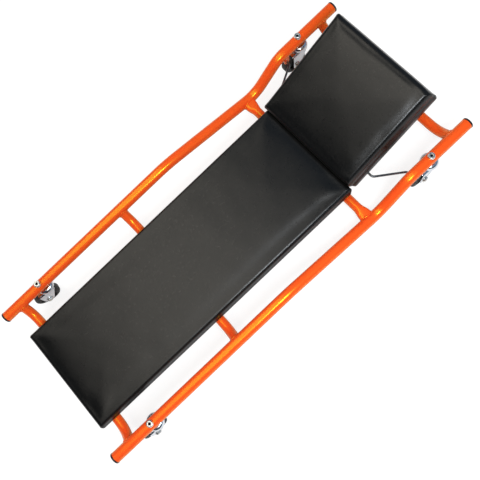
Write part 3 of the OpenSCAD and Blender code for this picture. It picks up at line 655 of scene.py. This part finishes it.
def make_race_and_bolt(tag, here, bolt_heads):
    """The turned race under the rail, and the bolt through the rail that holds it."""
    skirt_depth = 8.4 * MM
    low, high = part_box(f"caster_race_{tag}")
    race = race_shell((high.x - low.x) / 2, low.z, high.z - skirt_depth, high.z, BOLT_HOLE_R)
    add_piece(f"race_{tag}", placed(race, here), "frame", "zinc_plate", [f"caster_race_{tag}"])
    low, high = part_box(f"caster_bolt_{tag}")
    seat = RAIL_Z + RAIL_R + TOUCH_GAP
    shell = bolt_shell((high.x - low.x) / 2, high.z - seat, BOLT_R, low.z, seat)
    bolt = add_piece(f"bolt_{tag}", placed(shell, here), "frame", "bolt_steel", [f"caster_bolt_{tag}"])
    bolt.data.materials[0] = bolt_heads


def make_fork(tag, turned, trail, axle_z):
    """The pressed fork under its ring of balls."""
    sheet = 2.5 * MM
    under_balls = 2.6 * MM
    crown_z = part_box(f"caster_balls_{tag}")[0].z - under_balls
    shell = fork_shell(trail, axle_z, eye_r=12 * MM, crown_z=crown_z, half_in=13 * MM, sheet=sheet,
                       front=11.6 * MM, back=30 * MM, crown_r=17.6 * MM)
    fork = add_piece(f"fork_{tag}", placed(shell, turned), f"swivel_{tag}", "zinc_plate",
                     [f"caster_fork_{tag}"])
    thicken(fork, sheet, 0.6 * MM)


def make_axle(tag, flat):
    """The axle pin, with a domed head on one side of the fork and a nut on the other."""
    pin_r = 4 * MM
    out = 15.6 * MM
    half_w, height, thread_r = 6.2 * MM, 3.2 * MM, 3.9 * MM
    pin = lathe([(0, -out), (pin_r, -out), (pin_r, out), (0, out)], 32)
    outward = Matrix.Translation((0, 0, out))
    nut = placed(nut_shell(half_w, height, thread_r, False), outward)
    head = placed(nut_shell(half_w, height, thread_r, True), Matrix.Rotation(math.pi, 4, "X") @ outward)
    add_piece(f"axle_{tag}", placed(joined([pin, nut, head]), flat), f"swivel_{tag}", "bolt_steel",
              [f"caster_axle_{tag}"])


def make_wheel(tag, flat, wheel_r):
    """A moulded hub and its tyre."""
    hub_r = wheel_r * 0.7
    hub = hub_shell(hub_r, width=18 * MM, boss_half=12.6 * MM, bore=4.1 * MM)
    tyre = tyre_shell(wheel_r, width=22 * MM, bore=hub_r + TOUCH_GAP)
    add_piece(f"hub_{tag}", placed(hub, flat), f"wheel_{tag}", "hub_plastic", [f"wheel_hub_{tag}"])
    add_piece(f"tyre_{tag}", placed(tyre, flat), f"wheel_{tag}", "tyre_rubber", [f"wheel_tyre_{tag}"])


def make_casters():
    """The four casters, each at its swivel and turned as the frame's axle says."""
    trail = 22 * MM
    bolt_heads = bolt_head_look()
    for end, side in PLACES:
        tag = f"{end}_{side}"
        swivel = Vector(JOINTS[f"swivel_{tag}"]["pos_m"])
        axle = Vector(JOINTS[f"roll_{tag}"]["pos_m"])
        yaw = math.atan2(swivel.y - axle.y, swivel.x - axle.x)
        here = Matrix.Translation((swivel.x, swivel.y, 0))
        turned = here @ Matrix.Rotation(yaw, 4, "Z")
        flat = turned @ Matrix.Translation((-trail, 0, axle.z)) @ Matrix.Rotation(math.pi / 2, 4, "X")
        make_race_and_bolt(tag, here, bolt_heads)
        make_fork(tag, turned, trail, axle.z)
        make_axle(tag, flat)
        make_wheel(tag, flat, axle.z)


def smoothed(shifts, faces, passes):
    """Moves of the points of a mesh, each drawn toward the mean of its neighbours' moves."""
    pairs = np.array([(a, b) for face in faces for a, b in zip(face, face[1:] + face[:1])])
    moves = np.array(shifts)
    counts = np.bincount(pairs[:, 0], minlength=len(moves)) + np.bincount(pairs[:, 1], minlength=len(moves))
    for _ in range(passes):
        total = np.zeros_like(moves)
        np.add.at(total, pairs[:, 0], moves[pairs[:, 1]])
        np.add.at(total, pairs[:, 1], moves[pairs[:, 0]])
        moves = (moves + total / counts[:, None]) / 2
    return [Vector(move) for move in moves]


def make_caps():
    """A moulded cap in each rail end: a ribbed plug and a rounded head a little wider than the tube."""
    plug = 15 * MM
    plug_r = RAIL_R - 1.7 * MM
    head_r = RAIL_R + 0.3 * MM
    head_t = 4.6 * MM
    round_r = 2.2 * MM
    soft = 0.3 * MM
    seat = 0.02 * MM
    groove = 0.6 * MM
    ribs = [(plug_r - groove * (k % 2), -plug + plug * k / 8) for k in range(1, 8)]
    edge = arc((head_r - round_r, head_t - round_r), round_r, 0, 84, 7)
    profile = [(0, -plug), (plug_r - soft, -plug)] + ribs + [
        (plug_r, seat), (head_r - soft, seat), (head_r, soft)] + edge + [(0, head_t + soft)]
    for end, side in PLACES:
        low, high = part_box(f"side_rail_{side}")
        x = high.x if end == "head" else low.x
        turn = Matrix.Rotation(ENDS[end] * math.pi / 2, 4, "Y")
        cap = placed(lathe(profile, 72), Matrix.Translation((x, SIDES[side] * RAIL_Y, RAIL_Z)) @ turn)
        add_piece(f"cap_{end}_{side}", cap, "frame", "black_plastic", [f"end_cap_{end}_{side}"])


class Pad:
    """A pad of the bed, drawn flat. Its own frame has the pad's centre at 0 and its board's underside
    at z = 0. Its upper edge is rounded by edge_r, or right_r on the right, and falls by roll near it.
    Its long sides are drawn in, left and right, by draw_in, and its hinge end leans out by lean."""
    corner_r = 5 * MM
    corner_zone = 30 * MM
    grid = 5.5 * MM
    roll_w = 20 * MM
    skin = 1.2 * MM
    lid_z = 3 * MM
    hem_w = 20 * MM
    hem_cut = 1.5 * MM
    hem_cut_zone = (44 * MM, 106 * MM)
    pleat_at = 8 * MM
    side_travel = 1.6 * MM
    edge_travel = 0.7 * MM
    crown_travel = 3.3 * MM

    def __init__(self, name, low, high, thick, crown, edge_r, right_r, roll, draw_in, hinge_end, lean,
                 flat_to_row):
        self.name = name
        self.right_r = right_r
        self.draw_in = draw_in
        self.hx = (high.x - low.x) / 2
        self.hy = (high.y - low.y) / 2
        self.thick = thick
        self.crown = crown
        self.edge_r = edge_r
        self.roll = roll
        self.hinge_end = hinge_end
        self.lean = lean
        centre = Vector(((low.x + high.x) / 2, (low.y + high.y) / 2, low.z + self.skin))
        self.to_row = flat_to_row @ Matrix.Translation(centre)

    def lines(self, half):
        """Grid lines across the pad: even, then closer near the edges."""
        edge = [self.edge_r * (1 - math.cos(math.radians(a))) for a in range(0, 91, 15)]
        edge += [self.edge_r + step * MM for step in (2.5, 5, 8, 11.5)]
        inner = half - edge[-1]
        steps = round(inner / self.grid)
        right = [inner * i / steps for i in range(1, steps)] + [half - d for d in reversed(edge)]
        return [-x for x in reversed(right)] + [0.0] + right

    def outline(self, x, y, inset):
        """A grid point taken into the round-cornered outline, which is moved in by inset."""
        r, zone = self.corner_r, self.corner_zone
        a, b = (abs(x) - self.hx) / r + 1, (abs(y) - self.hy) / r + 1
        if a > 0 and b > 0:
            a, b = a * math.sqrt(1 - b * b / 2), b * math.sqrt(1 - a * a / 2)
            x = math.copysign(self.hx + (a - 1) * r, x)
            y = math.copysign(self.hy + (b - 1) * r, y)
        squeeze = (zone - inset) / zone
        near_x, near_y = abs(x) - self.hx + zone, abs(y) - self.hy + zone
        if near_x > 0:
            x = math.copysign(self.hx - zone + near_x * squeeze, x)
        if near_y > 0:
            y = math.copysign(self.hy - zone + near_y * squeeze, y)
        return x, y

    def depth(self, x, y):
        """How far a point lies inside the round-cornered outline."""
        out_x, out_y = abs(x) - self.hx + self.corner_r, abs(y) - self.hy + self.corner_r
        return self.corner_r - math.hypot(max(out_x, 0), max(out_y, 0)) - min(max(out_x, out_y), 0)

    def drawn(self, y, share):
        """The long sides pulled in toward the top, by a share of what draw_in gives for left and right."""
        beside = max(0, 1 - (self.hy - abs(y)) / self.roll_w)
        pull = self.draw_in[0 if y > 0 else 1]
        return y - math.copysign(pull * share * eased(beside), y)

    def edge_at(self, y):
        """The radius of the upper edge, which is larger on the right side."""
        near = clamp(1 - (self.hy + y) / (2 * self.right_r))
        return self.edge_r + (self.right_r - self.edge_r) * eased(near)

    def top_point(self, x, y):
        """A point of the upper face: crowned, and rounded off at the edge."""
        px, py = self.outline(x, y, 0)
        edge = self.edge_at(py)
        inside = max(self.depth(px, py), 0)
        fall = edge - math.sqrt(edge ** 2 - (edge - min(inside, edge)) ** 2)
        fall += self.roll * max(0, 1 - inside / self.roll_w) ** 2
        arch = max(1 - (x / self.hx) ** 2, 0) * max(1 - (y / self.hy) ** 2, 0)
        return Vector((px, self.drawn(py, 1), self.thick - fall + self.crown * arch ** 0.7))

    def hem_at(self, x, y):
        """Width of the hem under the board, with a ragged edge, and cut away at the hinges."""
        ragged, wave = 1.4 * MM, 14 * MM
        near, far = self.hem_cut_zone
        if x * self.hinge_end > self.hx - self.corner_zone and near < abs(y) < far:
            return self.hem_cut
        return self.hem_w + ragged * noise.noise(Vector((x, y, 0)) / wave)

    def side_levels(self):
        """The rings below the rim, each as its height, its share of the rim's height on top of that,
        how far it lies inside the outline, and how far it has gone along the hem, from 0 to 1."""
        skin, row_h = self.skin, 4 * MM
        rows = round((self.thick - self.edge_r) / row_h)
        sides = [(0, 1 - k / rows, 0, 0) for k in range(1, rows)]
        fold = [(0.8 * MM, 0, 0, 0), (-0.3 * MM, 0, 0.1 * MM, 0), (-0.9 * MM, 0, 0.5 * MM, 0),
                (-skin, 0, 1.3 * MM, 0)]
        hem = [(-skin, 0, 0.5 * MM, 0.5), (-skin, 0, 0, 0.97), (-0.6 * skin, 0, 0, 1),
               (-0.1 * MM, 0, 0, 1), (self.lid_z, 0, 0.8 * MM, 1)]
        return sides + fold + hem

    def shell(self):
        """The closed skin: crowned top, sides, hem folded under the board, and a lid inside the board."""
        xs, ys = self.lines(self.hx), self.lines(self.hy)
        nx, ny = len(xs), len(ys)
        points = [self.top_point(x, y) for x in xs for y in ys]
        faces = [(i * ny + j, (i + 1) * ny + j, (i + 1) * ny + j + 1, i * ny + j + 1)
                 for i in range(nx - 1) for j in range(ny - 1)]
        rim = ([(i, 0) for i in range(nx)] + [(nx - 1, j) for j in range(1, ny)]
               + [(i, ny - 1) for i in range(nx - 2, -1, -1)] + [(0, j) for j in range(ny - 2, 0, -1)])
        above = [i * ny + j for i, j in rim]
        rim_heights = [points[k].z for k in above]
        for base, rim_share, inset, hem_share in self.side_levels():
            start = len(points)
            for (i, j), rim_height in zip(rim, rim_heights):
                x, y = xs[i], ys[j]
                z = base + rim_share * rim_height
                width = self.hem_at(x, y)
                px, py = self.outline(x, y, inset + width * hem_share)
                if z > 0 and hem_share == 0:
                    py = self.drawn(py, (z / rim_height) ** 1.5)
                points.append(Vector((px, py, z - self.hem_fold(x, y) * min(hem_share * 4, 1) * (z < 0))))
            below = list(range(start, len(points)))
            faces += ring_faces(above, below)
            above = below
        start = len(points)
        lid_in = self.hem_w + 3 * MM
        points += [Vector((*self.outline(x, y, lid_in), self.lid_z)) for x in xs for y in ys]
        faces += ring_faces(above, [start + i * ny + j for i, j in rim])
        faces += [(start + i * ny + j, start + i * ny + j + 1, start + (i + 1) * ny + j + 1,
                   start + (i + 1) * ny + j) for i in range(nx - 1) for j in range(ny - 1)]
        return points, faces

    def hem_fold(self, x, y):
        """Extra depth of the hem where its folds overlap at the corners."""
        extra, zone, ripple = 0.8 * MM, 16 * MM, 2 * MM
        past_x, past_y = self.hx - abs(x), self.hy - abs(y)
        near = math.exp(-(max(past_x, past_y) / zone) ** 2)
        return extra * near * (1 + 0.5 * math.sin(abs(x - y) / ripple))

    def inflated(self, points, faces):
        """Where the points go when the skin is cloth that the foam's pressure fills."""
        frames = 20
        mesh = bpy.data.meshes.new("swelling")
        mesh.from_pydata(points, [], faces)
        body = bpy.data.objects.new("swelling", mesh)
        scene.collection.objects.link(body)
        held = body.vertex_groups.new(name="held")
        board_top = BOARD_T + 1 * MM
        held.add([i for i, p in enumerate(points) if p.z < board_top], 1, "REPLACE")
        cloth = body.modifiers.new("cloth", "CLOTH")
        cloth.settings.quality = 6
        cloth.settings.mass = 0.3
        cloth.settings.tension_stiffness = 20
        cloth.settings.compression_stiffness = 20
        cloth.settings.bending_stiffness = 2
        cloth.settings.use_pressure = True
        cloth.settings.uniform_pressure_force = 4
        cloth.settings.vertex_group_mass = "held"
        cloth.settings.effector_weights.gravity = 0
        cloth.point_cache.frame_start = 1
        cloth.point_cache.frame_end = frames
        for number in range(1, frames + 1):
            scene.frame_set(number)
        swollen = body.evaluated_get(bpy.context.evaluated_depsgraph_get()).data
        moved = [v.co.copy() for v in swollen.vertices]
        scene.frame_set(1)
        bpy.data.objects.remove(body)
        bpy.data.meshes.remove(mesh)
        return moved

    def most_travel(self, p):
        """How far a point may swell: a little at the sides, less at the edge, most in the middle."""
        blend, reach = 3 * MM, 50 * MM
        inside = max(self.depth(p.x, p.y), 0)
        up = clamp((p.z - (self.thick - self.edge_r)) / blend)
        crown = self.edge_travel + self.crown_travel * (1 - math.exp(-inside / reach))
        return self.side_travel + up * (crown - self.side_travel)

    def swell(self, points, faces):
        """The skin filled by the foam, its moves smoothed and each point held near where it began."""
        passes = 14
        moved = self.inflated(points, faces)
        settled = []
        for p, shift in zip(points, smoothed([q - p for p, q in zip(points, moved)], faces, passes)):
            cap = self.most_travel(p)
            length = shift.length
            settled.append(p + shift * (cap * math.tanh(length / cap) / length) if length > 0 else p)
        return settled

    def corner_folds(self, p):
        """Relief of the top: folds that fan out from the corners, and lumps of uneven foam."""
        fold_h, fold_reach, folds = 0.16 * MM, 26 * MM, 7
        lump_h, lump_size = 0.35 * MM, 46 * MM
        past_x, past_y = self.hx - abs(p.x), self.hy - abs(p.y)
        near = math.exp(-(math.hypot(past_x, past_y) / fold_reach) ** 2)
        fan = math.sin(math.atan2(past_y, past_x) * folds + p.x / abs(p.x or 1))
        return fold_h * near * fan + lump_h * noise.noise(p / lump_size)

    def seam_lean(self, p):
        """How far the hinge end leans out toward the other pad."""
        zone, start_share, over_share = 14 * MM, 0.25, 0.35
        high = clamp((p.z / self.thick - start_share) / over_share)
        to_seam = self.hx - p.x * self.hinge_end
        return self.lean * eased(high) * math.exp(-(to_seam / zone) ** 2)

    def pleat(self, beside):
        """Height of the pleat on a side, beside a corner: a flap, and the groove along it."""
        flap_h, flap_soft = 1.1 * MM, 0.6 * MM
        groove_h, groove_off, groove_w = 0.5 * MM, 3 * MM, 2.5 * MM
        past = beside - self.pleat_at
        flap = flap_h / (1 + math.exp(past / flap_soft))
        return flap - groove_h * math.exp(-((past - groove_off) / groove_w) ** 2)

    def settle(self, p):
        """A point of the skin with its small wrinkles."""
        still_z, side_zone, pleat_zone, pleat_rise = 0.5 * MM, 3 * MM, 60 * MM, 4 * MM
        if p.z < still_z:
            return p
        q = p.copy()
        past_x, past_y = self.hx - abs(p.x), self.hy - abs(p.y)
        up = clamp((p.z - (self.thick - self.roll - self.edge_r)) / self.edge_r)
        q.z += up * self.corner_folds(p)
        q.x += self.hinge_end * self.seam_lean(p)
        share = (1 - up) * min(1, p.z / pleat_rise)
        if past_y < side_zone and past_x < pleat_zone:
            q.y += math.copysign(self.pleat(past_x) * share, p.y)
        elif past_x < side_zone and past_y < pleat_zone:
            q.x += math.copysign(self.pleat(past_y) * share, p.x)
        return q

    def staples(self):
        """Staples through the hem into the board, about 38 mm apart."""
        inset, from_corner, spacing = 12 * MM, 16 * MM, 38 * MM
        half, sink, wire = 5 * MM, 1.5 * MM, 0.45 * MM
        low = -self.skin - wire * 0.6
        path = [Vector((-half, 0, sink)), Vector((-half, 0, low + wire)),
                Vector((-half + wire, 0, low)), Vector((half - wire, 0, low)),
                Vector((half, 0, low + wire)), Vector((half, 0, sink))]
        staple = sweep(path, [wire] * len(path), [Vector((0, 1, 0))] * len(path), 6, False)
        draws = random.Random(4)
        shells = []
        for along_x in (True, False):
            run = (self.hx if along_x else self.hy) - from_corner
            count = round(2 * run / spacing)
            for side in (-1, 1):
                for k in range(count + 1):
                    t = -run + 2 * run * k / count + draws.uniform(-2, 2) * MM
                    x, y = (t, side * (self.hy - inset)) if along_x else (side * (self.hx - inset), t)
                    if self.hem_at(x, y) < self.hem_w / 2:
                        continue
                    turn = draws.uniform(-0.15, 0.15) + (0 if along_x else math.pi / 2)
                    place = Matrix.Translation((x, y, 0)) @ Matrix.Rotation(turn, 4, "Z")
                    shells.append(placed(staple, place))
        return joined(shells)


def make_pads():
    """The two cushions, each swollen as cloth, wrinkled and stapled under its board. The back pad
    stands proud of its solid on the right, and the headrest on the left, as in the photograph."""
    back_proud, head_proud = 2 * MM, 5 * MM
    low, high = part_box("back_cover")
    low.y -= back_proud
    back = Pad("back", low, high, thick=20 * MM, crown=1.5 * MM, edge_r=9 * MM, right_r=11 * MM,
               roll=0.3 * MM, draw_in=(1.5 * MM, 1.5 * MM), hinge_end=1, lean=4 * MM,
               flat_to_row=Matrix.Identity(4))
    tilt = (Matrix.Translation(HINGE) @ Matrix.Rotation(-HEAD_TILT, 4, "Y")
            @ Matrix.Translation(-HINGE))
    untilt = tilt.inverted()
    cover = [untilt @ v.co for v in frame["nodes"]["head_cover"].data.vertices]
    low = Vector([min(p[k] for p in cover) for k in range(3)])
    high = Vector([max(p[k] for p in cover) for k in range(3)])
    high.y += head_proud
    head = Pad("head", low, high, thick=40 * MM, crown=2.0 * MM, edge_r=10 * MM, right_r=19 * MM,
               roll=0.3 * MM, draw_in=(0.5 * MM, 4 * MM), hinge_end=-1, lean=6 * MM,
               flat_to_row=tilt)
    for pad, body in ((back, "frame"), (head, "headrest")):
        points, faces = pad.shell()
        points = pad.swell(points, faces)
        points = [pad.settle(p) for p in points]
        piece = add_piece(f"{pad.name}_pad", placed((points, faces), pad.to_row), body, "black_vinyl",
                          [f"{pad.name}_cover", f"{pad.name}_foam"], 180)
        finer = piece.modifiers.new("finer", "SUBSURF")
        finer.levels = finer.render_levels = 1
        add_piece(f"{pad.name}_staples", placed(pad.staples(), pad.to_row), body, "bolt_steel")


def rippled_bead(curve, outward, radius):
    """A weld bead along a closed curve, with the ripples of its laying."""
    ripple, pitch = 0.16, 2.6 * MM
    radii = []
    travelled = 0
    for i, point in enumerate(curve):
        travelled += (point - curve[i - 1]).length
        radii.append(radius * (1 + ripple * math.sin(2 * math.pi * travelled / pitch)))
    return sweep(curve, radii, outward, 8)


def make_welds():
    """A bead round each end of the four crossbars, where it meets its rail. Three of them slope down
    from level rails, and the shoulder one runs level between the dips."""
    shells = []
    bead_r = 1.9 * MM
    steps = 90
    bars = [("crossbar_foot", 45), ("crossbar_middle", 45), ("crossbar_head", 45), ("crossbar_shoulder", 0)]
    for name, slope in bars:
        low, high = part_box(name)
        fall = math.radians(slope)
        if slope == 0:
            wide, tall, z, dip = FLARE_W / 2, FLARE_H / 2, SHOULDER_Z, DIP_SLOPE
        else:
            wide = tall = (high.x - low.x) / 2
            z, dip = RAIL_Z, 0
        rail = Vector((math.cos(dip), 0, -math.sin(dip)))
        for side in (-1, 1):
            root = Vector(((low.x + high.x) / 2, side * RAIL_Y, z))
            inward = Vector((0, -side * math.cos(fall), -math.sin(fall)))
            across = Vector((0, -side * math.sin(fall), math.cos(fall)))
            curve, outward = [], []
            for k in range(steps):
                a = 2 * math.pi * k / steps
                skin = Vector((wide * math.cos(a), 0, 0)) + across * tall * math.sin(a)
                off = skin - rail * skin.dot(rail)
                out = skin + inward * math.sqrt(RAIL_R ** 2 - off.length_squared)
                curve.append(root + out)
                from_rail = out - rail * out.dot(rail)
                outward.append(skin.normalized() + from_rail.normalized())
            shells.append(rippled_bead(curve, outward, bead_r))
    add_piece("weld_beads", joined(shells), "frame", "orange_paint", (), 180)


def make_shoulder_bar():
    """A straight tube whose ends are crimped to a wide flat mouth round the rails."""
    low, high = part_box("crossbar_shoulder")
    x = (low.x + high.x) / 2
    before_rail, flare_len = 27 * MM, 24 * MM
    flare_from = RAIL_Y - RAIL_R - before_rail
    stop = RAIL_Y - RAIL_R * 0.55
    flare_steps = 12
    places = [flare_from * t for t in (0, 0.3, 0.6, 0.85, 0.97)]
    places += [flare_from + (stop - flare_from) * t / flare_steps for t in range(flare_steps + 1)]
    places = [-y for y in reversed(places[1:])] + places
    sides = 72
    points = []
    for y in places:
        t = eased(clamp((abs(y) - flare_from) / flare_len))
        wide = BAR_R + (FLARE_W / 2 - BAR_R) * t
        tall = BAR_R + (FLARE_H / 2 - BAR_R) * t
        power = 2 / (2 + 1.4 * t)
        for k in range(sides):
            a = 2 * math.pi * k / sides
            c, n = math.cos(a), math.sin(a)
            points.append(Vector((x + wide * math.copysign(abs(c) ** power, c), y,
                                  SHOULDER_Z + tall * math.copysign(abs(n) ** power, n))))
    faces = strip_faces(len(places), sides)
    faces += [tuple(reversed(range(sides))), tuple(range(len(points) - sides, len(points)))]
    add_piece("shoulder_bar", (points, faces), "frame", "orange_paint", ["crossbar_shoulder"], 40)


make_camera()
make_stage()
make_world()
make_lamps()
dress_frame()
make_casters()
make_caps()
make_shoulder_bar()
make_welds()
make_pads()
